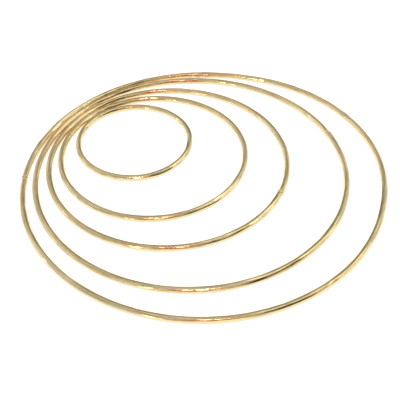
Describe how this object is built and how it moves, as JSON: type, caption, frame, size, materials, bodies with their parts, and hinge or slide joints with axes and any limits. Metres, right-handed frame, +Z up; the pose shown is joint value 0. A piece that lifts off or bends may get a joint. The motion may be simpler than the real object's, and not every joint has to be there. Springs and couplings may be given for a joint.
{
  "type": "wreath hoop set",
  "caption": "Set of plain round-wire hoops in graded sizes, gold-plated and butt-welded shut, lying loose and nested one inside the other, for wreaths and other hoop crafts.",
  "frame": {"origin": "on the resting plane, under the middle of the largest hoop's outer box", "axes": "+Z up, square to the plane that the hoops lie in; +X to the right and +Y to the back of the set as laid, with the hoops bunched together at the back left"},
  "size_m": [0.1486, 0.147, 0.0029],
  "materials": {
    "gold_wire": "polished",
    "weld_bead": "satin"
  },
  "bodies": {
    "hoop_150": {"hoop_150_wire": "gold_wire", "hoop_150_weld": "weld_bead"},
    "hoop_130": {"hoop_130_wire": "gold_wire", "hoop_130_weld": "weld_bead"},
    "hoop_100": {"hoop_100_wire": "gold_wire", "hoop_100_weld": "weld_bead"},
    "hoop_80": {"hoop_80_wire": "gold_wire", "hoop_80_weld": "weld_bead"},
    "hoop_50": {"hoop_50_wire": "gold_wire", "hoop_50_weld": "weld_bead"}
  },
  "joints": [
    {"name": "hoop_130_lift", "type": "slide", "parent": "hoop_150", "child": "hoop_130", "axis": [0, 0, 1], "range_m": [0, 0.02]},
    {"name": "hoop_100_lift", "type": "slide", "parent": "hoop_150", "child": "hoop_100", "axis": [0, 0, 1], "range_m": [0, 0.04]},
    {"name": "hoop_80_lift", "type": "slide", "parent": "hoop_150", "child": "hoop_80", "axis": [0, 0, 1], "range_m": [0, 0.06]},
    {"name": "hoop_50_lift", "type": "slide", "parent": "hoop_150", "child": "hoop_50", "axis": [0, 0, 1], "range_m": [0, 0.08]}
  ]
}
